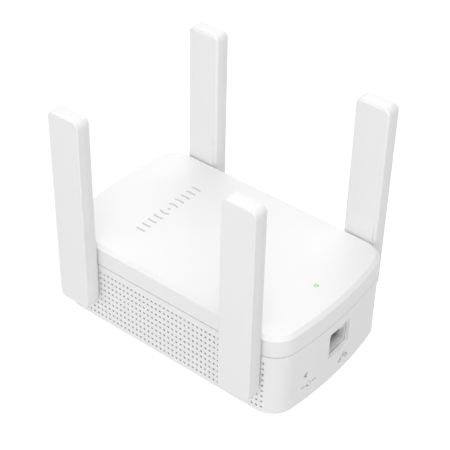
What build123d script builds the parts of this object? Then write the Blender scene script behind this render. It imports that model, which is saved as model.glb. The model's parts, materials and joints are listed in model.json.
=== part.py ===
from build123d import *
from math import hypot
import os

# Wall-plug wifi range extender with four fold-out antennas and one LAN socket.
# Millimetres. The unit lies on its back: z = 0 is the back face that rests on the wall, +Z points out
# of the wall, the long axis runs along X and the LAN end is at +X. The mains blades reach below z = 0.

# ---- case -----------------------------------------------------------------------------------------
BODY_LENGTH = 115.6
BODY_WIDTH = 71.0
BODY_HEIGHT = 39.1
END_BULGE = 3.7            # how far each short end bows outwards
END_BOW_RADIUS = (END_BULGE**2 + (BODY_WIDTH / 2) ** 2) / (2 * END_BULGE)
CORNER_RADIUS = 10.5
WALL = 1.9
SEAM_Z = 29.55             # middle of the parting line
SEAM_GAP = 0.35
TOP_CHAMFER = 1.55
EDGE_ROUND = 0.45
FOOT_ROUND = 0.8
LIP_DEPTH = 2.7
LIP_THICKNESS = 1.0
LIP_CLEARANCE = 0.12

# ---- side grilles ---------------------------------------------------------------------------------
GRILLE_COLUMNS = 47
GRILLE_ROWS = 9
GRILLE_PITCH_X = 2.07
GRILLE_PITCH_Z = 2.81
GRILLE_LOW_Z = 3.15
GRILLE_HOLE_RADIUS = 0.56
VENT_FREE_RADIUS = 6.6     # the plain wall round each hinge

# ---- antennas -------------------------------------------------------------------------------------
PIVOT_X = 40.4
ANTENNA_WIDTH = 15.3
ANTENNA_LENGTH = 88.7
ANTENNA_BOTTOM_Z = 11.4
ANTENNA_CORNER = 2.7
ANTENNA_OUTER_Y = 43.5
ANTENNA_INNER_Y = 36.6
ANTENNA_PARTING = 3.5      # depth of the inner cover
ANTENNA_BEVEL = 0.75
ANTENNA_DRAFT = 4.5        # degrees, on both halves
ANTENNA_WALL = 1.3
FOOT_RISE = 0.9            # how far the thicker foot stands towards the case
FOOT_HALF_WIDTH = 6.3
FOOT_LOW = -5.6            # heights along the antenna, from its hinge
FOOT_FLAT_TOP = 18.0
FOOT_FADE_TOP = 29.0
PIVOT_Z = ANTENNA_BOTTOM_Z + ANTENNA_WIDTH / 2
BARREL_RADIUS = 4.0
BARREL_CLEARANCE = 0.07
BARREL_END_Y = 31.6
BARREL_BORE = 1.5
CLIP_RADIUS = 5.5
WASHER_RADIUS = 5.3
GROOVE_RADIUS = 3.4
WASHER_THICKNESS = 0.4
WASHER_GAP = 0.03
CLIP_THICKNESS = 0.7
COAX_RADIUS = 0.565
COAX_BEND = 2.6

# ---- LAN end --------------------------------------------------------------------------------------
PORT_Y = 0.65
PORT_WIDTH = 13.6
PORT_LOW_Z = 11.75
PORT_HIGH_Z = 24.5
PORT_EDGE_ROUND = 0.3
PORT_SILL_CHAMFER = 1.1
JACK_WIDTH = 16.0
JACK_FRONT_X = 55.55
JACK_BACK_X = 35.0
JACK_TOP_Z = 24.9
PLUG_HALF_WIDTH = 5.95
PLUG_LOW_Z = 12.6
PLUG_HIGH_Z = 19.6
PLUG_DEPTH = 14.0
LATCH_HALF_WIDTH = 3.05
LATCH_HIGH_Z = 23.4
CONTACT_PITCH = 1.02
CONTACT_WIDTH = 0.36
CONTACT_SLOT = 0.56
CONTACT_SETBACK = 4.0
RESET_Y = -19.3
RESET_Z = 13.2
RESET_RADIUS = 1.2
RESET_RIM_ROUND = 0.3
ICON_DEPTH = 0.35
ICON_STROKE = 0.5

# ---- boards ---------------------------------------------------------------------------------------
BOARD_LOW_Z = 9.4
BOARD_TOP_Z = 11.0
BOARD_INSET = 3.2
MAIN_BOARD_X = -2.0        # the main board fills the case from here to the LAN end
POWER_BOARD_X = -6.0       # the power board fills it from here to the other end
STANDOFFS = [(16.0, 29.0), (16.0, -29.0), (-32.0, 29.0), (-32.0, -29.0)]
STANDOFF_RADIUS = 2.6
STANDOFF_PILOT = 0.9
LED_X = 45.7
LED_Y = -0.2
LED_CHIP_X = 31.5
LIGHT_PIPE_RADIUS = 0.85
SOCKET_SITES = {
    "top_left": (3.0, -28.5),
    "bottom_left": (26.0, -27.0),
    "top_right": (3.0, 28.5),
    "bottom_right": (26.0, 27.0),
}

# ---- screws and mains plug ------------------------------------------------------------------------
SCREW_X = 48.5
SCREW_Y = 27.5
SCREW_BOSS_RADIUS = 3.2
SCREW_HEAD_BORE = 2.7
SCREW_SHANK_BORE = 1.45
SCREW_PILOT = 1.3
SCREW_SEAT_Z = 13.0
POST_JOIN_Z = 19.5
PLUG_X = -20.0
BLADE_SPACING = 12.7
BLADE_WIDTH = 6.3
BLADE_THICKNESS = 1.5
BLADE_REACH = 17.0
INSERT_LENGTH = 24.0
INSERT_WIDTH = 22.0
INSERT_FLANGE = 2.0
INSERT_CLEARANCE = 0.1
FLOOR_Z = 2.0              # thickness of the back wall
LABEL_X = 28.0             # the blank recess for a rating label, on the back
LABEL_LENGTH = 36.0
LABEL_WIDTH = 30.0
LABEL_DEPTH = 0.25

# ---- parts that are plain boxes or cans on the boards ---------------------------------------------
# name -> (x, y, length, width, height) for each box
BOXED_PARTS = {
    "processor_chip": [(12, 0, 12, 12, 1.2)],
    "radio_chips": [(14, -18.5, 6, 6, 0.9), (14, 18.5, 6, 6, 0.9)],
    "crystal": [(26, -5, 3.2, 2.5, 0.8)],
    "status_led": [(LED_CHIP_X, LED_Y, 1.6, 1.6, 0.8)],
    "transformer_base": [(-27, 14, 15, 14, 1.4)],
    "safety_capacitor": [(-30, -20, 13, 5, 11)],
}
# name -> (x, y, length, width, height, legs on each side, leg pitch) for each chip with legs
LEGGED_PARTS = {
    "flash_chip": (30, -13, 4, 5, 1.6, 4, 1.27),
    "lan_transformer": (29, 13, 7, 12.5, 4, 8, 1.27),
    "rectifier": (-36, -6, 6, 6, 2.4, 2, 4.0),
}
# name -> (x, y, radius, height) for each can
CAN_PARTS = {
    "bulk_capacitors": [(-46, -11, 5, 16), (-46, 1.5, 5, 16)],
    "output_capacitor": [(-12, -19, 4, 13)],
}

# Where each antenna hinge stands: name -> (side along X, side along Y). Names are as seen on the wall,
# with the LAN end down.
ANTENNAS = {
    "top_left": (-1, -1),
    "bottom_left": (1, -1),
    "top_right": (-1, 1),
    "bottom_right": (1, 1),
}


def outline(inset=0.0):
    """The case's plan outline: straight sides, bowed ends, round corners, moved inwards by inset."""
    half_length = BODY_LENGTH / 2 - inset
    half_width = BODY_WIDTH / 2 - inset
    bow_radius = END_BOW_RADIUS - inset
    shape = Rectangle(2 * half_length, 2 * half_width)
    for side in (-1, 1):
        shape = shape & Pos(side * (half_length - bow_radius), 0) * Circle(bow_radius)
    return fillet(shape.vertices(), CORNER_RADIUS - inset)


def slab(inset, low, high):
    """A slice of the case's plan outline between two heights."""
    return extrude(Pos(0, 0, low) * outline(inset), amount=high - low)


def block(x, y, z):
    """A box from three (low, high) pairs."""
    size = [pair[1] - pair[0] for pair in (x, y, z)]
    middle = [(pair[0] + pair[1]) / 2 for pair in (x, y, z)]
    return Pos(*middle) * Box(*size)


def chip(x, y, length, width, height, low=BOARD_TOP_Z):
    """A box standing on the boards, by its centre and size."""
    return block((x - length / 2, x + length / 2), (y - width / 2, y + width / 2), (low, low + height))


def upright(x, y, radius, low, high):
    """A cylinder along Z."""
    return Pos(x, y, (low + high) / 2) * Cylinder(radius, high - low)


def along_y(x, z, radius, low, high):
    """A cylinder along Y."""
    return Pos(x, (low + high) / 2, z) * Rot(90, 0, 0) * Cylinder(radius, high - low)


def along_x(y, z, radius, low, high):
    """A cylinder along X."""
    return Pos((low + high) / 2, y, z) * Rot(0, 90, 0) * Cylinder(radius, high - low)


def tube(points, bend, radius):
    """A round wire along straight runs joined by arcs."""
    path = FilletPolyline(*points, radius=bend)
    return sweep(Plane(path @ 0, z_dir=path % 0) * Circle(radius), path=path)


def mirrored_sites(x, y):
    return [(sx * x, sy * y) for sx in (-1, 1) for sy in (-1, 1)]


def save(name, *solids):
    shape = solids[0] if len(solids) == 1 else Compound(children=list(solids))
    shape.label = name
    export_step(shape, f"parts/{name}.step")


# ---- case -----------------------------------------------------------------------------------------


def grille_holes():
    """The rows of round vents through both long sides, left solid where a hinge passes through."""
    holes = []
    first_x = -(GRILLE_COLUMNS - 1) / 2 * GRILLE_PITCH_X
    reach = BODY_WIDTH / 2 + 1
    for column in range(GRILLE_COLUMNS):
        x = first_x + column * GRILLE_PITCH_X
        for row in range(GRILLE_ROWS):
            z = GRILLE_LOW_Z + row * GRILLE_PITCH_Z
            if hypot(abs(x) - PIVOT_X, z - PIVOT_Z) < VENT_FREE_RADIUS + GRILLE_HOLE_RADIUS:
                continue
            for low, high in ((-reach, WALL - BODY_WIDTH / 2 + 1), (BODY_WIDTH / 2 - WALL - 1, reach)):
                holes.append(along_y(x, z, GRILLE_HOLE_RADIUS, low, high))
    return holes


def end_engraving(sketch):
    """The material taken out of the bowed LAN end by a mark sketched in its Y and Z directions."""
    end_plane = Plane(origin=(BODY_LENGTH / 2 - 6, 0, 0), x_dir=(0, 1, 0), z_dir=(1, 0, 0))
    skin = slab(-0.1, 1, SEAM_Z - 1) - slab(ICON_DEPTH, 1, SEAM_Z - 1)
    return extrude(end_plane * sketch, amount=8) & skin


def frame_shape(width, height):
    """The outline of a rectangle, one stroke wide."""
    return Rectangle(width, height) - Rectangle(width - 2 * ICON_STROKE, height - 2 * ICON_STROKE)


def network_icon():
    """Three linked frames, under the LAN socket."""
    width, height = 1.9, 1.5
    link = Rectangle(5.0, ICON_STROKE)
    for offset, lift in ((-2.25, -1.2), (0, 1.2), (2.25, -1.2)):
        link += Pos(offset, lift) * frame_shape(width, height)
        link += Pos(offset, lift / 4) * Rectangle(ICON_STROKE, abs(lift) / 2)
    return Pos(4.2, 6.8) * link


def restart_icon():
    """An open ring with a short bar on each side, under the reset hole."""
    ring = Circle(1.4) - Circle(1.4 - ICON_STROKE) - Pos(0.8, 1.0) * Rectangle(0.8, 1.2)
    for offset in (-3.1, 3.1):
        ring += Pos(offset, 0) * Rectangle(2.4, ICON_STROKE)
    return Pos(-17.7, 7.9) * ring


def port_sill():
    """The wedge taken off the lower edge of the LAN cut-out."""
    side = Plane(origin=(0, PORT_Y, 0), x_dir=(1, 0, 0), z_dir=(0, -1, 0))
    reach = PORT_SILL_CHAMFER + 1
    edge_x = BODY_LENGTH / 2 - PORT_SILL_CHAMFER
    wedge = Polyline(
        (edge_x, PORT_LOW_Z), (edge_x + reach, PORT_LOW_Z), (edge_x + reach, PORT_LOW_Z - reach), close=True
    )
    return extrude(side * make_face(wedge), amount=PORT_WIDTH / 2, both=True)


def edges_near(shell, y, reach, low_z, high_z):
    """The edges on the outside of the LAN end, within reach of y and between two heights."""
    found = []
    for edge in shell.edges():
        middle = edge.center()
        surface_x = BODY_LENGTH / 2 - y**2 / (2 * END_BOW_RADIUS)
        if middle.X > surface_x - 0.6 and abs(middle.Y - y) <= reach and low_z <= middle.Z <= high_z:
            found.append(edge)
    return found


def rear_shell():
    top = SEAM_Z - SEAM_GAP / 2
    outer = slab(0, 0, top)
    outer = fillet(outer.edges().group_by(Axis.Z)[0], FOOT_ROUND)
    inner = slab(WALL, FLOOR_Z, top + 1)
    for x, y in mirrored_sites(SCREW_X, SCREW_Y):
        inner -= upright(x, y, SCREW_BOSS_RADIUS, 0, POST_JOIN_Z)
    for x, y in STANDOFFS:
        inner -= upright(x, y, STANDOFF_RADIUS, 0, BOARD_LOW_Z)
    shell = outer - inner
    port = block((50, 62), (PORT_Y - PORT_WIDTH / 2, PORT_Y + PORT_WIDTH / 2), (PORT_LOW_Z, PORT_HIGH_Z))
    cuts = [port, along_x(RESET_Y, RESET_Z, RESET_RADIUS, 50, 62)]
    for x_side, y_side in ANTENNAS.values():
        low, high = sorted((y_side * 30, y_side * 40))
        cuts.append(along_y(x_side * PIVOT_X, PIVOT_Z, BARREL_RADIUS + BARREL_CLEARANCE, low, high))
    for x, y in mirrored_sites(SCREW_X, SCREW_Y):
        cuts.append(upright(x, y, SCREW_HEAD_BORE, -1, SCREW_SEAT_Z))
        cuts.append(upright(x, y, SCREW_SHANK_BORE, SCREW_SEAT_Z - 1, POST_JOIN_Z + 1))
    for x, y in STANDOFFS:
        cuts.append(upright(x, y, STANDOFF_PILOT, 4, BOARD_LOW_Z + 1))
    seat = 2 * INSERT_CLEARANCE
    cuts.append(chip(PLUG_X, 0, INSERT_LENGTH + seat, INSERT_WIDTH + seat, FLOOR_Z + 2, low=-1))
    cuts.append(chip(LABEL_X, 0, LABEL_LENGTH, LABEL_WIDTH, LABEL_DEPTH + 1, low=-1))
    shell -= cuts
    port_edges = edges_near(shell, PORT_Y, PORT_WIDTH / 2 + 0.1, PORT_LOW_Z - 0.1, PORT_HIGH_Z + 0.1)
    shell = fillet(port_edges, PORT_EDGE_ROUND)
    reset_edges = edges_near(shell, RESET_Y, RESET_RADIUS, RESET_Z - RESET_RADIUS, RESET_Z + RESET_RADIUS)
    shell = fillet(reset_edges, RESET_RIM_ROUND)
    shell -= [port_sill(), end_engraving(network_icon()), end_engraving(restart_icon())]
    shell -= grille_holes()
    return shell


def front_cover():
    low = SEAM_Z + SEAM_GAP / 2
    shelf = low + 1.3
    ceiling = BODY_HEIGHT - WALL
    cover = slab(0, low, BODY_HEIGHT)
    cover = chamfer(cover.edges().group_by(Axis.Z)[-1], TOP_CHAMFER)
    cover = fillet(cover.edges().group_by(Axis.Z)[-1], EDGE_ROUND)
    lip_outer = WALL + LIP_CLEARANCE
    lip_inner = lip_outer + LIP_THICKNESS
    cover -= slab(WALL, shelf, ceiling)
    cover -= slab(lip_inner, low - 1, shelf)
    cover += slab(lip_outer, low - LIP_DEPTH, low) - slab(lip_inner, low - LIP_DEPTH, low)
    for x, y in mirrored_sites(SCREW_X, SCREW_Y):
        cover += upright(x, y, SCREW_BOSS_RADIUS, POST_JOIN_Z, ceiling)
        cover -= upright(x, y, SCREW_PILOT, POST_JOIN_Z - 1, POST_JOIN_Z + 12)
    cover += upright(LED_X, LED_Y, 2.4, ceiling - 2.5, ceiling)
    cover -= upright(LED_X, LED_Y, LIGHT_PIPE_RADIUS + 0.08, ceiling - 3, BODY_HEIGHT + 1)
    return cover


def case_screw(x, y):
    """A pan-head screw with a cross recess, driven in from the back."""
    screw = upright(x, y, 2.5, SCREW_SEAT_Z - 1.8, SCREW_SEAT_Z)
    screw = fillet(screw.edges().group_by(Axis.Z)[0], 0.7)
    screw += upright(x, y, 1.25, SCREW_SEAT_Z, SCREW_SEAT_Z + 16)
    for length, width in ((2.8, 0.7), (0.7, 2.8)):
        screw -= chip(x, y, length, width, 1.1, low=SCREW_SEAT_Z - 1.9)
    return screw


def board_screw(x, y):
    screw = upright(x, y, 1.9, BOARD_TOP_Z, BOARD_TOP_Z + 1.2) + upright(x, y, 0.85, 5, BOARD_TOP_Z)
    for length, width in ((2.2, 0.5), (0.5, 2.2)):
        screw -= chip(x, y, length, width, 0.8, low=BOARD_TOP_Z + 0.6)
    return screw


# ---- mains plug -----------------------------------------------------------------------------------


def plug_blade(side):
    y = side * BLADE_SPACING / 2
    blade = chip(PLUG_X, y, BLADE_WIDTH, BLADE_THICKNESS, BLADE_REACH + BOARD_LOW_Z, low=-BLADE_REACH)
    return chamfer(blade.edges().group_by(Axis.Z)[0], 0.5)


def plug_insert():
    """The insulating block that carries the blades, flush with the back face."""
    insert = chip(PLUG_X, 0, INSERT_LENGTH, INSERT_WIDTH, FLOOR_Z, low=0)
    insert = chamfer(insert.edges().group_by(Axis.Z)[0], 0.3)
    flange_length, flange_width = INSERT_LENGTH + 2 * INSERT_FLANGE, INSERT_WIDTH + 2 * INSERT_FLANGE
    insert += chip(PLUG_X, 0, flange_length, flange_width, INSERT_FLANGE, low=FLOOR_Z)
    for side in (-1, 1):
        insert += chip(PLUG_X, side * BLADE_SPACING / 2, 10, 5, 4, low=FLOOR_Z + INSERT_FLANGE)
        insert -= chip(PLUG_X, side * BLADE_SPACING / 2, BLADE_WIDTH, BLADE_THICKNESS, 12, low=-2)
    return insert


# ---- boards ---------------------------------------------------------------------------------------


def board(low_x, high_x):
    """A circuit board cut to the case's outline, with notches for the screw bosses."""
    blank = slab(BOARD_INSET, BOARD_LOW_Z, BOARD_TOP_Z)
    blank &= block((low_x, high_x), (-40, 40), (0, 20))
    for x, y in mirrored_sites(SCREW_X, SCREW_Y):
        blank -= upright(x, y, SCREW_BOSS_RADIUS + 0.5, 0, 20)
    for x, y in STANDOFFS:
        blank -= upright(x, y, 1.1, 0, 20)
    return blank


def legged_chip(x, y, length, width, height, legs, pitch):
    """A moulded chip with a row of bent legs along both of its Y sides."""
    body = chip(x, y, length, width, height - 0.2, low=BOARD_TOP_Z + 0.2)
    body = chamfer(body.edges().group_by(Axis.Z)[-1], 0.15)
    for side in (-1, 1):
        edge = x + side * length / 2
        for leg in range(legs):
            leg_y = y + (leg - (legs - 1) / 2) * pitch
            body += chip(edge + side * 0.2, leg_y, 0.8, 0.42, 0.25, low=BOARD_TOP_Z + 0.7)
            body += chip(edge + side * 0.5, leg_y, 0.25, 0.42, 0.95)
            body += chip(edge + side * 0.75, leg_y, 0.7, 0.42, 0.2)
    return body


def heat_sink():
    x, y, length, width, _ = BOXED_PARTS["processor_chip"][0]
    side = length + 8
    low = BOARD_TOP_Z + 1.2
    sink = chip(x, y, side, side, 2, low=low)
    for fin in range(7):
        sink += chip(x, y + (fin - 3) * 3.1, side, 1.1, 6, low=low + 2)
    return sink


def radio_shield(y):
    can = chip(14, y, 18, 12, 2.6)
    can = fillet(can.edges().group_by(Axis.Z)[-1], 0.4)
    return can - chip(14, y, 17.4, 11.4, 2.3)


def antenna_socket(x, y):
    base = chip(x, y, 2.6, 2.6, 0.4)
    return base + upright(x, y, 1.0, BOARD_TOP_Z + 0.4, BOARD_TOP_Z + 1.3)


def jack_housing():
    """The LAN jack: the plug's body below, its latch above, and contact slots along the floor."""
    low_y, high_y = PORT_Y - JACK_WIDTH / 2, PORT_Y + JACK_WIDTH / 2
    cavity_back = JACK_FRONT_X - PLUG_DEPTH
    jack = block((JACK_BACK_X, JACK_FRONT_X), (low_y, high_y), (BOARD_TOP_Z, JACK_TOP_Z))
    plug_y = (PORT_Y - PLUG_HALF_WIDTH, PORT_Y + PLUG_HALF_WIDTH)
    latch_y = (PORT_Y - LATCH_HALF_WIDTH, PORT_Y + LATCH_HALF_WIDTH)
    jack -= block((cavity_back, JACK_FRONT_X + 1), plug_y, (PLUG_LOW_Z, PLUG_HIGH_Z))
    jack -= block((cavity_back, JACK_FRONT_X + 1), latch_y, (PLUG_HIGH_Z - 0.1, LATCH_HIGH_Z))
    slot_x = (cavity_back, JACK_FRONT_X - CONTACT_SETBACK)
    slot_z = (PLUG_LOW_Z - 0.7, PLUG_LOW_Z + 0.1)
    for contact in range(8):
        y = PORT_Y + (contact - 3.5) * CONTACT_PITCH
        jack -= block(slot_x, (y - CONTACT_SLOT / 2, y + CONTACT_SLOT / 2), slot_z)
    return jack


def jack_contact(number):
    """One spring wire, held in a slot of the floor and rising to the back of the cavity."""
    y = PORT_Y + (number - 3.5) * CONTACT_PITCH
    front, back = JACK_FRONT_X - CONTACT_SETBACK, JACK_FRONT_X - PLUG_DEPTH + 0.3
    low, high = PLUG_LOW_Z - 0.55, PLUG_LOW_Z + 1.8
    side = Plane(origin=(0, y, 0), x_dir=(1, 0, 0), z_dir=(0, -1, 0))
    wire = Polyline((front, low), (back, high), (back, high + 0.4), (front, low + 0.4), close=True)
    return extrude(side * make_face(wire), amount=CONTACT_WIDTH / 2, both=True)


def light_pipe():
    """A clear guide from the LED on the board, over the LAN jack, to the front face."""
    top = BODY_HEIGHT - 0.05
    level = 29.0
    points = [
        (LED_CHIP_X, LED_Y, BOARD_TOP_Z + 1.0),
        (LED_CHIP_X, LED_Y, level),
        (LED_X, LED_Y, level),
        (LED_X, LED_Y, top),
    ]
    pipe = tube(points, 3.0, LIGHT_PIPE_RADIUS)
    return pipe + upright(LED_X, LED_Y, 1.8, BODY_HEIGHT - WALL - 3.4, BODY_HEIGHT - WALL - 2.6)


def reset_switch():
    body = chip(49.2, RESET_Y, 4.6, 6.0, 3.6)
    return body - block((49, 52), (RESET_Y - 1.6, RESET_Y + 1.6), (RESET_Z - 0.8, RESET_Z + 0.8))


def reset_plunger():
    stem = block((50, 53.4), (RESET_Y - 1.5, RESET_Y + 1.5), (RESET_Z - 0.7, RESET_Z + 0.7))
    return fillet(stem.edges().group_by(Axis.X)[-1], 0.3)


def coax_lead(name):
    """The part of an antenna's cable inside the case: hinge, along the side wall, down to its socket."""
    x_side, y_side = ANTENNAS[name]
    socket_x, socket_y = SOCKET_SITES[name]
    hinge_x = x_side * PIVOT_X
    points = [
        (hinge_x, y_side * 33.9, PIVOT_Z),
        (hinge_x, socket_y, PIVOT_Z),
        (socket_x, socket_y, PIVOT_Z),
        (socket_x, socket_y, BOARD_TOP_Z + 1.3),
    ]
    return tube(points, COAX_BEND, COAX_RADIUS)


# ---- power supply ---------------------------------------------------------------------------------


def transformer_core():
    x, y, *_, base_height = BOXED_PARTS["transformer_base"][0]
    low = BOARD_TOP_Z + base_height
    core = chip(x, y, 16, 5, 14, low=low)
    for side in (-1, 1):
        core -= chip(x + side * 4, y, 3.2, 6, 9, low=low + 2.5)
    return core


def transformer_winding():
    x, y, *_, base_height = BOXED_PARTS["transformer_base"][0]
    low = BOARD_TOP_Z + base_height + 2.7
    winding = chip(x, y, 11, 11, 8.6, low=low)
    winding = fillet(winding.edges().filter_by(Axis.Z), 2.0)
    return winding - chip(x, y, 4.9, 5.1, 10, low=low - 0.6)


def capacitor(x, y, radius, height):
    """An aluminium can with its crimp near the foot and a rounded top."""
    can = upright(x, y, radius, BOARD_TOP_Z, BOARD_TOP_Z + height)
    can = fillet(can.edges().group_by(Axis.Z)[-1], 0.6)
    crimp_z = BOARD_TOP_Z + 2
    ring = upright(x, y, radius + 1, crimp_z, crimp_z + 0.8)
    ring -= upright(x, y, radius - 0.4, crimp_z, crimp_z + 0.8)
    return can - ring


def choke():
    """A ferrite drum on end, with a narrow waist for its winding."""
    x, y, rim, waist, height = -46, 16, 4, 3.2, 9
    flange = 1.5
    drum = upright(x, y, rim, BOARD_TOP_Z, BOARD_TOP_Z + height)
    groove = upright(x, y, rim + 1, BOARD_TOP_Z + flange, BOARD_TOP_Z + height - flange)
    return drum - (groove - upright(x, y, waist, BOARD_TOP_Z, BOARD_TOP_Z + height))


def board_link():
    """The pin header that joins the two boards."""
    pitch = 2.54
    middle = (MAIN_BOARD_X + POWER_BOARD_X) / 2
    header = chip(middle, 0, 8.4, 5 * pitch, 2.5)
    for pin in range(-2, 3):
        header += chip(middle, pin * pitch, 10.4, 0.64, 0.64, low=BOARD_TOP_Z + 0.9)
    return header


# ---- antennas -------------------------------------------------------------------------------------
# Built for the hinge at the origin, standing along +Z, with +Y pointing away from the case and y = 0 on
# the inner face. place() turns each one round for its own side.


def antenna_face(inset, depth):
    """The antenna's broad outline at a depth from its inner face."""
    outline_shape = RectangleRounded(
        ANTENNA_WIDTH - 2 * inset, ANTENNA_LENGTH - 2 * inset, ANTENNA_CORNER - inset
    )
    plane = Plane(origin=(0, depth, (ANTENNA_LENGTH - ANTENNA_WIDTH) / 2), x_dir=(1, 0, 0), z_dir=(0, 1, 0))
    return plane * outline_shape


def hinge_disc(radius, low, high):
    return along_y(0, 0, radius, low, high)


def antenna_outer_cover():
    thickness = ANTENNA_OUTER_Y - ANTENNA_INNER_Y
    cover = extrude(antenna_face(0, ANTENNA_PARTING), amount=thickness - ANTENNA_PARTING, taper=ANTENNA_DRAFT)
    cover = fillet(cover.edges().group_by(Axis.Y)[-1], 0.35)
    hollow = thickness - ANTENNA_PARTING - ANTENNA_WALL
    return cover - extrude(antenna_face(ANTENNA_WALL, ANTENNA_PARTING), amount=hollow)


def antenna_foot():
    """The thicker foot, close to the case's side, which fades into the inner face higher up."""
    side = Plane(origin=(0, 0, 0), x_dir=(0, 1, 0), z_dir=(1, 0, 0))
    profile = Polyline(
        (0, FOOT_LOW),
        (-FOOT_RISE, FOOT_LOW + FOOT_RISE),
        (-FOOT_RISE, FOOT_FLAT_TOP),
        (0, FOOT_FADE_TOP),
        close=True,
    )
    return extrude(side * make_face(profile), amount=FOOT_HALF_WIDTH, both=True)


def antenna_inner_cover():
    cover = extrude(antenna_face(0, ANTENNA_PARTING), amount=-ANTENNA_PARTING, taper=ANTENNA_DRAFT)
    cover = chamfer(cover.edges().group_by(Axis.Y)[0], ANTENNA_BEVEL)
    cover -= extrude(antenna_face(ANTENNA_WALL, ANTENNA_WALL), amount=ANTENNA_PARTING)
    barrel_end = BARREL_END_Y - ANTENNA_INNER_Y
    cover += antenna_foot()
    cover += hinge_disc(BARREL_RADIUS, barrel_end, 0)
    groove = clip_place(0.05)
    cover -= hinge_disc(BARREL_RADIUS + 1, *groove) - hinge_disc(GROOVE_RADIUS, *groove)
    return cover - hinge_disc(BARREL_BORE, barrel_end - 1, ANTENNA_PARTING)


def clip_place(margin):
    """Where the retaining clip sits along the barrel, widened by margin on each side."""
    wall_inside = BODY_WIDTH / 2 - WALL - ANTENNA_INNER_Y
    high = wall_inside - WASHER_GAP - WASHER_THICKNESS - 0.08
    return high - CLIP_THICKNESS - margin, high + margin


def retaining_clip():
    low, high = clip_place(0)
    clip = hinge_disc(CLIP_RADIUS, low, high) - hinge_disc(GROOVE_RADIUS + 0.05, low, high)
    return clip - block((-2.5, 2.5), (low - 1, high + 1), (0, 10))


def hinge_washer():
    high = BODY_WIDTH / 2 - WALL - ANTENNA_INNER_Y - WASHER_GAP
    low = high - WASHER_THICKNESS
    return hinge_disc(WASHER_RADIUS, low, high) - hinge_disc(BARREL_RADIUS + 0.15, low, high)


RADIATOR_LOW = 9.0
RADIATOR_LENGTH = 62.0
RADIATOR_DEPTH = 3.4


def radiator():
    """A thin board with two printed arms, standing in the hollow of the antenna."""
    middle = RADIATOR_LOW + RADIATOR_LENGTH / 2
    strip = Pos(0, RADIATOR_DEPTH, middle) * Box(8, 0.8, RADIATOR_LENGTH)
    for side in (-1, 1):
        strip -= Pos(side * 4, RADIATOR_DEPTH, middle) * Box(1.6, 2, 2.4)
    return strip


def antenna_lead():
    """The end of the cable, from inside the barrel up to the foot of the radiator."""
    start = -2.6
    points = [(0, start, 0), (0, RADIATOR_DEPTH, 0), (0, RADIATOR_DEPTH, RADIATOR_LOW)]
    return tube(points, 2.0, COAX_RADIUS)


def place(shape, x_side, y_side):
    """Stand an antenna piece at its hinge; pieces on the -Y side are mirrored."""
    if y_side < 0:
        shape = mirror(shape, about=Plane.XZ)
    return Pos(x_side * PIVOT_X, y_side * ANTENNA_INNER_Y, PIVOT_Z) * shape


# ---- write every piece ----------------------------------------------------------------------------
os.makedirs("parts", exist_ok=True)

save("rear_shell", rear_shell())
save("front_cover", front_cover())
save("case_screws", *[case_screw(x, y) for x, y in mirrored_sites(SCREW_X, SCREW_Y)])
save("board_screws", *[board_screw(x, y) for x, y in STANDOFFS])
save("plug_blades", *[plug_blade(side) for side in (-1, 1)])
save("plug_insert", plug_insert())

save("main_board", board(MAIN_BOARD_X, 60))
save("heat_sink", heat_sink())
save("radio_shields", *[radio_shield(y) for _, y, *_ in BOXED_PARTS["radio_chips"]])
save("lan_jack_housing", jack_housing())
save("lan_jack_contacts", *[jack_contact(number) for number in range(8)])
save("antenna_sockets", *[antenna_socket(x, y) for x, y in SOCKET_SITES.values()])
save("light_pipe", light_pipe())
save("reset_switch", reset_switch())
save("reset_plunger", reset_plunger())

save("power_board", board(-60, POWER_BOARD_X))
save("board_link", board_link())
save("transformer_core", transformer_core())
save("transformer_winding", transformer_winding())
save("filter_choke", choke())
save("fuse", along_y(-40, BOARD_TOP_Z + 2.2, 1.8, -27, -17))

for name, boxes in BOXED_PARTS.items():
    save(name, *[chip(*box) for box in boxes])
for name, sizes in LEGGED_PARTS.items():
    save(name, legged_chip(*sizes))
for name, cans in CAN_PARTS.items():
    save(name, *[capacitor(*can) for can in cans])

save("hinge_washers", *[place(hinge_washer(), *sides) for sides in ANTENNAS.values()])
for name, sides in ANTENNAS.items():
    save(f"antenna_{name}_outer_cover", place(antenna_outer_cover(), *sides))
    save(f"antenna_{name}_inner_cover", place(antenna_inner_cover(), *sides))
    save(f"antenna_{name}_radiator", place(radiator(), *sides))
    save(f"antenna_{name}_lead", place(antenna_lead(), *sides))
    save(f"antenna_{name}_clip", place(retaining_clip(), *sides))
    save(f"coax_lead_{name}", coax_lead(name))
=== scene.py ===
import bpy
import bmesh
import json
import math
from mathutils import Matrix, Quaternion, Vector


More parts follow.
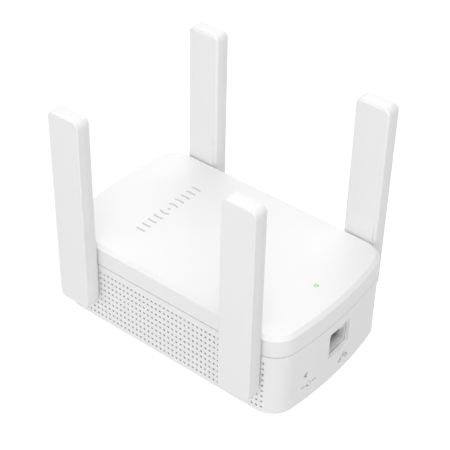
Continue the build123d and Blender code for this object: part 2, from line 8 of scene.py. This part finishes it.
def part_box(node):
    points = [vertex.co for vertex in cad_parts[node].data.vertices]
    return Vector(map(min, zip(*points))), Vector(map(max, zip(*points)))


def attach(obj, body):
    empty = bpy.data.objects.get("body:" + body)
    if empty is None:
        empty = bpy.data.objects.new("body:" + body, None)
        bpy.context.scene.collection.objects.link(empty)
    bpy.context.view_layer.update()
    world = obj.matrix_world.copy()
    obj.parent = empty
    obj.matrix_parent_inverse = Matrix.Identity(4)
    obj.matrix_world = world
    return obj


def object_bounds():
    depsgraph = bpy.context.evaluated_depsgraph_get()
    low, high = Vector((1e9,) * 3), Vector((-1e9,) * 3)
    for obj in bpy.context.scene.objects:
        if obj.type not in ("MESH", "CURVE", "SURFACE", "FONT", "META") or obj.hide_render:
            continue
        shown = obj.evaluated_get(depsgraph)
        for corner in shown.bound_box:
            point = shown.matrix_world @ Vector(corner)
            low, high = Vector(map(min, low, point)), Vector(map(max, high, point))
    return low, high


# Looks of the wifi range extender, in metres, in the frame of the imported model. The unit lies on its
# back with its mains blades pointing down, so the floor is just below the blade tips.
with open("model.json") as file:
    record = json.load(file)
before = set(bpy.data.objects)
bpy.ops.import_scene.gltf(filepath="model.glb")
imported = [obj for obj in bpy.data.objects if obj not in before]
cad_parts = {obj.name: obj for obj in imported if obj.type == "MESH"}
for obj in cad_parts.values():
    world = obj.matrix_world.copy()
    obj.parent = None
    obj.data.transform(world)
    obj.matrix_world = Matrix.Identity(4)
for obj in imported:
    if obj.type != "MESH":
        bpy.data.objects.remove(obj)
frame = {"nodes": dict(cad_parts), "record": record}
cad_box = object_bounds()

MM = 0.001

# ---- camera ---------------------------------------------------------------------------------------
CAMERA_AIM = Vector((0.8, 0.6, 45.0)) * MM
CAMERA_DISTANCE = 511.6 * MM
CAMERA_AZIMUTH = math.radians(37.77)
CAMERA_ELEVATION = math.radians(38.36)
CAMERA_ROLL = math.radians(1.33)
CAMERA_LENS = 104.54
SENSOR_WIDTH = 36.0

# ---- light ----------------------------------------------------------------------------------------
SKY_ABOVE = 0.34
SKY_BELOW = 0.67
SKY_BLEND = 0.15           # how far the two halves of the sky blend, as the direction's Z
FLOOR_GLOW = 1.0
FLOOR_GAP = 0.4 * MM
FLOOR_RADIUS = 3.0
LAMPS = [                  # name, place from the middle of the model, width, power
    ("back_light", (-0.58, 0.75, 0.85), 1.3, 7.4),
    ("high_light", (0.45, -0.15, 1.1), 0.9, 7.9),
    ("left_light", (-0.4, -1.05, 0.40), 0.8, 2.0),
    ("side_light", (0.45, -1.1, 0.35), 0.8, 5.0),
]

# ---- printed mark on the front face -----------------------------------------------------------------
MARK_CENTRE = Vector((-27.7, 0.2)) * MM
MARK_HEIGHT = 4.5 * MM
MARK_STROKE = 0.85 * MM
MARK_RADII = [3.4, 6.9, 10.4, 13.9, 17.35]
INK_THICKNESS = 0.03 * MM
ARC_STEPS = 24

# ---- status light, engraved icons and rating label --------------------------------------------------
LED_GREEN = (0.20, 0.60, 0.12)
# Painted light: the green glow that the status light throws on the case round it, painted into the case's
# colour
LED_PAINTED_GLOW_TINT = (0.74, 0.87, 0.64)
LED_GLOW_CORE = 0.8 * MM
LED_GLOW_RADIUS = 2.0 * MM
LED_STRENGTH = 0.3
END_BOW_RADIUS = 172.15 * MM
ICONS = [((57.8, 4.2, 6.8), 3.75), ((56.9, -17.7, 7.9), 4.45)]    # centre and reach of each icon
# Painted shade: how dark the floors of the engraved icons are painted, standing in for the shade in the
# recesses
ICON_PAINTED_SHADE = 0.55
LABEL_CENTRE = Vector((28.0, 0.0)) * MM
LABEL_SIZE = (35.4 * MM, 29.4 * MM)
LABEL_CORNER = 2.0 * MM
LABEL_RECESS = 0.25 * MM
LABEL_STEPS = 32


# ---- scene helpers ----------------------------------------------------------------------------------


def link(obj):
    bpy.context.scene.collection.objects.link(obj)
    return obj


def mesh_object(name, bm, material=None, smooth_angle=None):
    """Turns a bmesh into a linked object, shaded smooth below the given angle."""
    bmesh.ops.recalc_face_normals(bm, faces=bm.faces)
    mesh = bpy.data.meshes.new(name)
    bm.to_mesh(mesh)
    bm.free()
    if smooth_angle is not None:
        mesh.shade_smooth()
        mesh.set_sharp_from_angle(angle=smooth_angle)
    obj = link(bpy.data.objects.new(name, mesh))
    if material:
        mesh.materials.append(material)
    return obj


# ---- materials --------------------------------------------------------------------------------------


class Shader:
    """A Principled material with the few texture nodes that the finishes below share."""

    def __init__(self, name, **constants):
        self.material = bpy.data.materials.new(name)
        self.material.use_nodes = True
        self.tree = self.material.node_tree
        self.surface = self.tree.nodes["Principled BSDF"]
        for socket, value in constants.items():
            self.surface.inputs[socket.replace("_", " ")].default_value = value
        self.place = self.add("ShaderNodeTexCoord").outputs["Object"]

    def add(self, kind, **settings):
        node = self.tree.nodes.new(kind)
        for key, value in settings.items():
            setattr(node, key, value)
        return node

    def join(self, source, target):
        self.tree.links.new(source, target)

    def scaled(self, x, y, z):
        """Object coordinates stretched along each axis."""
        mapping = self.add("ShaderNodeMapping")
        self.join(self.place, mapping.inputs["Vector"])
        mapping.inputs["Scale"].default_value = (x, y, z)
        return mapping.outputs["Vector"]

    def noise(self, grain, detail=2.0, vector=None, roughness=0.5):
        """Noise whose features are about grain metres across."""
        node = self.add("ShaderNodeTexNoise")
        self.join(vector or self.place, node.inputs["Vector"])
        node.inputs["Scale"].default_value = 1.0 / grain
        node.inputs["Detail"].default_value = detail
        node.inputs["Roughness"].default_value = roughness
        return node.outputs["Fac"]

    def levels(self, source, low, high, from_low=0.3, from_high=0.7):
        node = self.add("ShaderNodeMapRange")
        self.join(source, node.inputs["Value"])
        node.inputs["From Min"].default_value = from_low
        node.inputs["From Max"].default_value = from_high
        node.inputs["To Min"].default_value = low
        node.inputs["To Max"].default_value = high
        return node.outputs["Result"]

    def mix(self, factor, first, second):
        """A colour between two others; each is a colour or a socket."""
        node = self.add("ShaderNodeMix", data_type="RGBA")
        self.join(factor, node.inputs["Factor"])
        for socket, colour in ((node.inputs[6], first), (node.inputs[7], second)):
            if isinstance(colour, bpy.types.NodeSocket):
                self.join(colour, socket)
            else:
                socket.default_value = (*colour, 1.0)
        return node.outputs[2]

    def nearness(self, point, radius, reach):
        """1 at a point and 0 beyond the reach from it, flat out to the radius."""
        offset = self.add("ShaderNodeVectorMath", operation="DISTANCE")
        self.join(self.place, offset.inputs[0])
        offset.inputs[1].default_value = point
        return self.levels(offset.outputs["Value"], 1.0, 0.0, radius, reach)

    def depth_in_bow(self, crown, radius, low, high):
        """0 on a wall bowed about a vertical axis, rising to 1 where it is cut from low to high deep."""
        offset = self.add("ShaderNodeVectorMath", operation="DISTANCE")
        self.join(self.scaled(1, 1, 0), offset.inputs[0])
        offset.inputs[1].default_value = (crown - radius, 0, 0)
        return self.levels(offset.outputs["Value"], 1.0, 0.0, radius - high, radius - low)

    def both(self, first, second):
        """1 only where both masks are 1."""
        node = self.add("ShaderNodeMath", operation="MULTIPLY")
        self.join(first, node.inputs[0])
        self.join(second, node.inputs[1])
        return node.outputs["Value"]

    def base(self, source):
        self.join(source, self.surface.inputs["Base Color"])

    def rough(self, source):
        self.join(source, self.surface.inputs["Roughness"])

    def bump(self, height, distance, strength=1.0):
        node = self.add("ShaderNodeBump")
        self.join(height, node.inputs["Height"])
        node.inputs["Distance"].default_value = distance
        node.inputs["Strength"].default_value = strength
        self.join(node.outputs["Normal"], self.surface.inputs["Normal"])


def shade(colour, factor):
    return tuple(min(1.0, channel * factor) for channel in colour)


def moulded(name, colour, roughness, grain=0.35 * MM, depth=0.006 * MM, mottle=0.015):
    """Moulded plastic: a spark-eroded grain, with a faint drift of tone and gloss."""
    finish = Shader(name)
    drift = finish.noise(14 * MM, detail=3.0)
    tone = finish.mix(drift, shade(colour, 1 - mottle), shade(colour, 1 + mottle))
    finish.base(tone)
    fine = finish.noise(grain, detail=3.0, roughness=0.6)
    finish.rough(finish.levels(fine, roughness - 0.05, roughness + 0.05))
    finish.bump(fine, depth)
    return finish, tone


def moulded_plastic(*settings, **options):
    return moulded(*settings, **options)[0].material


def case_plastic(name, lamp, crown):
    """The case's white plastic, with a painted green glow round the status light and painted shade in the
    floors of the icons.
    """
    finish, tone = moulded(name, CASE_COLOUR, CASE_ROUGHNESS)
    # Painted shade: where the icons are sunk into the bowed end wall, their floors are painted darker
    sunk = finish.depth_in_bow(crown, END_BOW_RADIUS, 0.1 * MM, 0.25 * MM)
    for place, reach in ICONS:
        icon = finish.nearness(Vector(place) * MM, reach * MM, (reach + 0.1) * MM)
        tone = finish.mix(finish.both(sunk, icon), tone, shade(CASE_COLOUR, ICON_PAINTED_SHADE))
    # Painted light: the status light's green glow is painted into the case's base colour round it
    painted_glow = finish.nearness(lamp, LED_GLOW_CORE, LED_GLOW_RADIUS)
    finish.base(finish.mix(painted_glow, tone, LED_PAINTED_GLOW_TINT))
    return finish.material


def jack_plastic(name, mouth):
    """Grey housing plastic, light at the mouth of the socket and painted darker into its depth as painted
    shade.
    """
    finish, tone = moulded(name, (0.76, 0.77, 0.76), 0.5)
    split = finish.add("ShaderNodeSeparateXYZ")
    finish.join(finish.place, split.inputs["Vector"])
    # Painted shade: the colour runs from near black deep in the socket to the plastic's tone at its mouth
    depth = finish.levels(split.outputs["X"], 0.0, 1.0, mouth - 7.0 * MM, mouth - 1.5 * MM)
    finish.base(finish.mix(depth, (0.03, 0.03, 0.03), tone))
    return finish.material


def lit_pipe(name, lamp):
    """The clear guide, a dim green, glowing at its core where it ends in the front face, with its base colour
    painted paler there as painted light.
    """
    finish, tone = moulded(name, (0.38, 0.56, 0.27), 0.15, depth=0.001 * MM)
    core = finish.nearness(lamp, 0.15 * MM, 0.7 * MM)
    # Painted light: the base colour is painted paler at the lit core, besides the status light's emission
    finish.base(finish.mix(core, tone, (0.55, 0.80, 0.42)))
    light = finish.mix(core, (0.0, 0.0, 0.0), LED_GREEN)
    finish.join(light, finish.surface.inputs["Emission Color"])
    finish.surface.inputs["Emission Strength"].default_value = LED_STRENGTH
    return finish.material


def circuit_board(name, mask, copper, pitch):
    """Solder mask over a pattern of straight tracks, which stand slightly proud of the board."""
    finish = Shader(name, Roughness=0.32)
    tracks = finish.add("ShaderNodeTexBrick", offset=0.37, offset_frequency=3, squash=0.6, squash_frequency=2)
    finish.join(finish.place, tracks.inputs["Vector"])
    tracks.inputs["Scale"].default_value = 1.0 / pitch
    tracks.inputs["Mortar Size"].default_value = 0.045
    tracks.inputs["Mortar Smooth"].default_value = 0.2
    weave = finish.noise(0.5 * MM, detail=2.0)
    ground = finish.mix(weave, shade(mask, 0.85), shade(mask, 1.15))
    finish.base(finish.mix(tracks.outputs["Fac"], ground, copper))
    finish.bump(tracks.outputs["Fac"], 0.02 * MM)
    return finish.material


def label_film(name):
    """Matt silver-grey label film with a faint print grain."""
    finish = Shader(name, Metallic=0.25)
    grain = finish.noise(0.2 * MM, detail=4.0)
    finish.base(finish.mix(grain, (0.60, 0.61, 0.62), (0.68, 0.69, 0.70)))
    finish.rough(finish.levels(grain, 0.38, 0.52))
    finish.bump(grain, 0.002 * MM)
    return finish.material


def machined_metal(name, colour, roughness, stretch, grain=0.12 * MM, depth=0.003 * MM):
    """Metal with drawn or brushed lines; stretch is how long the lines run along each axis."""
    finish = Shader(name, Metallic=1.0)
    lines = finish.noise(grain, detail=3.0, vector=finish.scaled(*stretch))
    stains = finish.noise(4 * MM, detail=4.0)
    finish.base(finish.mix(stains, shade(colour, 0.88), shade(colour, 1.06)))
    finish.rough(finish.levels(lines, roughness - 0.08, roughness + 0.12))
    finish.bump(lines, depth)
    return finish.material


CASE_COLOUR = (0.82, 0.82, 0.82)
CASE_ROUGHNESS = 0.32
LAMP_LOW, LAMP_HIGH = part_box("light_pipe")
CASE_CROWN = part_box("rear_shell")[1].x
LAMP = (LAMP_HIGH.x - (LAMP_HIGH.y - LAMP_LOW.y) / 2, (LAMP_LOW.y + LAMP_HIGH.y) / 2, LAMP_HIGH.z)

MATERIALS = {
    "case_white": case_plastic("case_white", LAMP, CASE_CROWN),
    "antenna_white": moulded_plastic("antenna_white", CASE_COLOUR, 0.40),
    "insulator_white": moulded_plastic("insulator_white", (0.80, 0.80, 0.78), 0.32, depth=0.002 * MM),
    "blade_metal": machined_metal("blade_metal", (0.78, 0.77, 0.74), 0.22, (1, 1, 0.05)),
    "screw_steel": machined_metal("screw_steel", (0.55, 0.55, 0.56), 0.35, (1, 1, 1)),
    "board_green": circuit_board("board_green", (0.02, 0.16, 0.07), (0.05, 0.30, 0.13), 3.2 * MM),
    "radiator_board": circuit_board("radiator_board", (0.05, 0.20, 0.09), (0.55, 0.38, 0.14), 9 * MM),
    "chip_black": moulded_plastic("chip_black", (0.03, 0.03, 0.033), 0.6),
    "shield_metal": machined_metal("shield_metal", (0.72, 0.72, 0.70), 0.3, (0.1, 1, 1)),
    "sink_aluminium": machined_metal("sink_aluminium", (0.75, 0.76, 0.78), 0.38, (0.05, 1, 1)),
    "jack_plastic": jack_plastic("jack_plastic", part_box("lan_jack_housing")[1].x),
    "contact_gold": machined_metal("contact_gold", (0.90, 0.70, 0.32), 0.25, (0.1, 1, 1)),
    "led_green": moulded_plastic("led_green", (0.40, 0.90, 0.40), 0.3),
    "pipe_clear": lit_pipe("pipe_clear", LAMP),
    "ferrite_grey": moulded_plastic("ferrite_grey", (0.07, 0.07, 0.075), 0.55),
    "winding_tape": moulded_plastic("winding_tape", (0.75, 0.55, 0.06), 0.3),
    "capacitor_sleeve": moulded_plastic("capacitor_sleeve", (0.02, 0.03, 0.05), 0.3),
    "capacitor_box": moulded_plastic("capacitor_box", (0.70, 0.52, 0.08), 0.35),
    "fuse_sleeve": moulded_plastic("fuse_sleeve", (0.10, 0.16, 0.09), 0.35),
    "cable_black": moulded_plastic("cable_black", (0.02, 0.02, 0.02), 0.55),
}


def dress_cad_nodes():
    for row in frame["record"]["subparts"]:
        node = frame["nodes"][row["node"]]
        material = MATERIALS[row["material_slot"]]
        if not node.material_slots:
            node.data.materials.append(material)
        for slot in node.material_slots:
            slot.material = material


# ---- pieces -----------------------------------------------------------------------------------------


def ink_stroke(bm, centreline, width, top):
    """A thin raised ribbon of ink along a list of XY points, as a closed prism."""
    low, high = top - INK_THICKNESS, top + INK_THICKNESS
    rings = []
    for index, point in enumerate(centreline):
        before = centreline[max(index - 1, 0)]
        after = centreline[min(index + 1, len(centreline) - 1)]
        side = (after - before).normalized().orthogonal() * width / 2
        corners = [(point + side, low), (point - side, low), (point - side, high), (point + side, high)]
        rings.append([bm.verts.new((*xy, z)) for xy, z in corners])
    for first, second in zip(rings, rings[1:]):
        for edge in range(4):
            after = (edge + 1) % 4
            bm.faces.new((first[edge], first[after], second[after], second[edge]))
    bm.faces.new(rings[0])
    bm.faces.new(rings[-1])


def front_print(face_z):
    """A generic broadcast mark: a dot with arcs on both sides, across the case."""
    bm = bmesh.new()
    dot = [MARK_CENTRE + Vector((0, t)) * MM for t in (-0.6, 0.6)]
    ink_stroke(bm, dot, 1.2 * MM, face_z)
    for radius in MARK_RADII:
        radius *= MM
        spread = math.asin(MARK_HEIGHT / 2 / radius)
        for side in (-1, 1):
            angles = [spread * (2 * step / ARC_STEPS - 1) for step in range(ARC_STEPS + 1)]
            arc = [MARK_CENTRE + Vector((math.sin(a), side * math.cos(a))) * radius for a in angles]
            ink_stroke(bm, arc, MARK_STROKE, face_z)
    ink = moulded_plastic("mark_grey", (0.55, 0.55, 0.55), 0.5)
    mark = mesh_object("front_print", bm, ink)
    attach(mark, "root")


def rating_label():
    """A blank film label in the recess of the back face, with round corners and a rolled edge."""
    bm = bmesh.new()
    half_x, half_y = (side / 2 - LABEL_CORNER for side in LABEL_SIZE)
    layers = [(0.0, LABEL_RECESS), (0.0, 0.10 * MM), (0.06 * MM, 0.05 * MM)]
    rings = []
    for inset, z in layers:
        ring = []
        for step in range(LABEL_STEPS):
            angle = 2 * math.pi * (step + 0.5) / LABEL_STEPS
            spread = Vector((math.cos(angle), math.sin(angle))) * (LABEL_CORNER - inset)
            corner = Vector((math.copysign(half_x, spread.x), math.copysign(half_y, spread.y)))
            ring.append(bm.verts.new((*(LABEL_CENTRE + corner + spread), z)))
        rings.append(ring)
    for lower, upper in zip(rings, rings[1:]):
        for index in range(len(lower)):
            after = (index + 1) % len(lower)
            bm.faces.new((lower[index], lower[after], upper[after], upper[index]))
    bm.faces.new(rings[0])
    bm.faces.new(rings[-1])
    label = mesh_object("rating_label", bm, label_film("label_film"), math.radians(30))
    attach(label, "root")


# ---- room -------------------------------------------------------------------------------------------


def floor(height):
    bm = bmesh.new()
    bmesh.ops.create_circle(bm, cap_ends=True, segments=96, radius=FLOOR_RADIUS)
    bm.faces.ensure_lookup_table()
    pale = Shader("floor_pale", Roughness=0.9)
    pale.base(pale.mix(pale.noise(0.4), (0.10, 0.10, 0.10), (0.11, 0.11, 0.11)))
    pale.surface.inputs["Emission Color"].default_value = (1, 1, 1, 1)
    pale.surface.inputs["Emission Strength"].default_value = FLOOR_GLOW
    ground = mesh_object("floor", bm, pale.material)
    ground.location.z = height
    ground.visible_diffuse = False
    ground.visible_shadow = False


def soft_light(name, place, aim, size, power):
    lamp = bpy.data.lights.new(name, "AREA")
    lamp.shape = "SQUARE"
    lamp.size = size
    lamp.energy = power
    obj = link(bpy.data.objects.new(name, lamp))
    obj.visible_camera = False
    obj.location = place
    obj.rotation_mode = "QUATERNION"
    obj.rotation_quaternion = (place - aim).to_track_quat("Z", "Y")


def sky():
    """Soft light from every side, the half below standing in for the bounce of a white table."""
    world = bpy.data.worlds.new("studio")
    world.use_nodes = True
    tree = world.node_tree
    direction = tree.nodes.new("ShaderNodeTexCoord")
    split = tree.nodes.new("ShaderNodeSeparateXYZ")
    height = tree.nodes.new("ShaderNodeMapRange")
    height.inputs["From Min"].default_value = -SKY_BLEND
    height.inputs["From Max"].default_value = SKY_BLEND
    halves = tree.nodes.new("ShaderNodeMix")
    halves.data_type = "RGBA"
    halves.inputs[6].default_value = (SKY_BELOW, SKY_BELOW, SKY_BELOW, 1)
    halves.inputs[7].default_value = (SKY_ABOVE, SKY_ABOVE, SKY_ABOVE, 1)
    tree.links.new(direction.outputs["Generated"], split.inputs["Vector"])
    tree.links.new(split.outputs["Z"], height.inputs["Value"])
    tree.links.new(height.outputs["Result"], halves.inputs["Factor"])
    tree.links.new(halves.outputs[2], tree.nodes["Background"].inputs["Color"])
    bpy.context.scene.world = world


def camera():
    back = Vector((
        math.sin(CAMERA_AZIMUTH) * math.cos(CAMERA_ELEVATION),
        -math.cos(CAMERA_AZIMUTH) * math.cos(CAMERA_ELEVATION),
        math.sin(CAMERA_ELEVATION),
    ))
    lens = bpy.data.cameras.new("camera")
    lens.lens = CAMERA_LENS
    lens.sensor_width = SENSOR_WIDTH
    lens.clip_start = 0.01
    lens.clip_end = 20.0
    obj = link(bpy.data.objects.new("camera", lens))
    obj.location = CAMERA_AIM + back * CAMERA_DISTANCE
    obj.rotation_mode = "QUATERNION"
    obj.rotation_quaternion = Quaternion(back, CAMERA_ROLL) @ back.to_track_quat("Z", "Y")
    bpy.context.scene.camera = obj


def room():
    lowest = cad_box[0].z
    centre = (cad_box[0] + cad_box[1]) / 2
    floor(lowest - FLOOR_GAP)
    sky()
    for name, place, size, power in LAMPS:
        soft_light(name, centre + Vector(place), centre, size, power)
    bpy.context.scene.view_settings.view_transform = "Standard"


camera()
room()
dress_cad_nodes()
front_print(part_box("front_cover")[1].z)
rating_label()
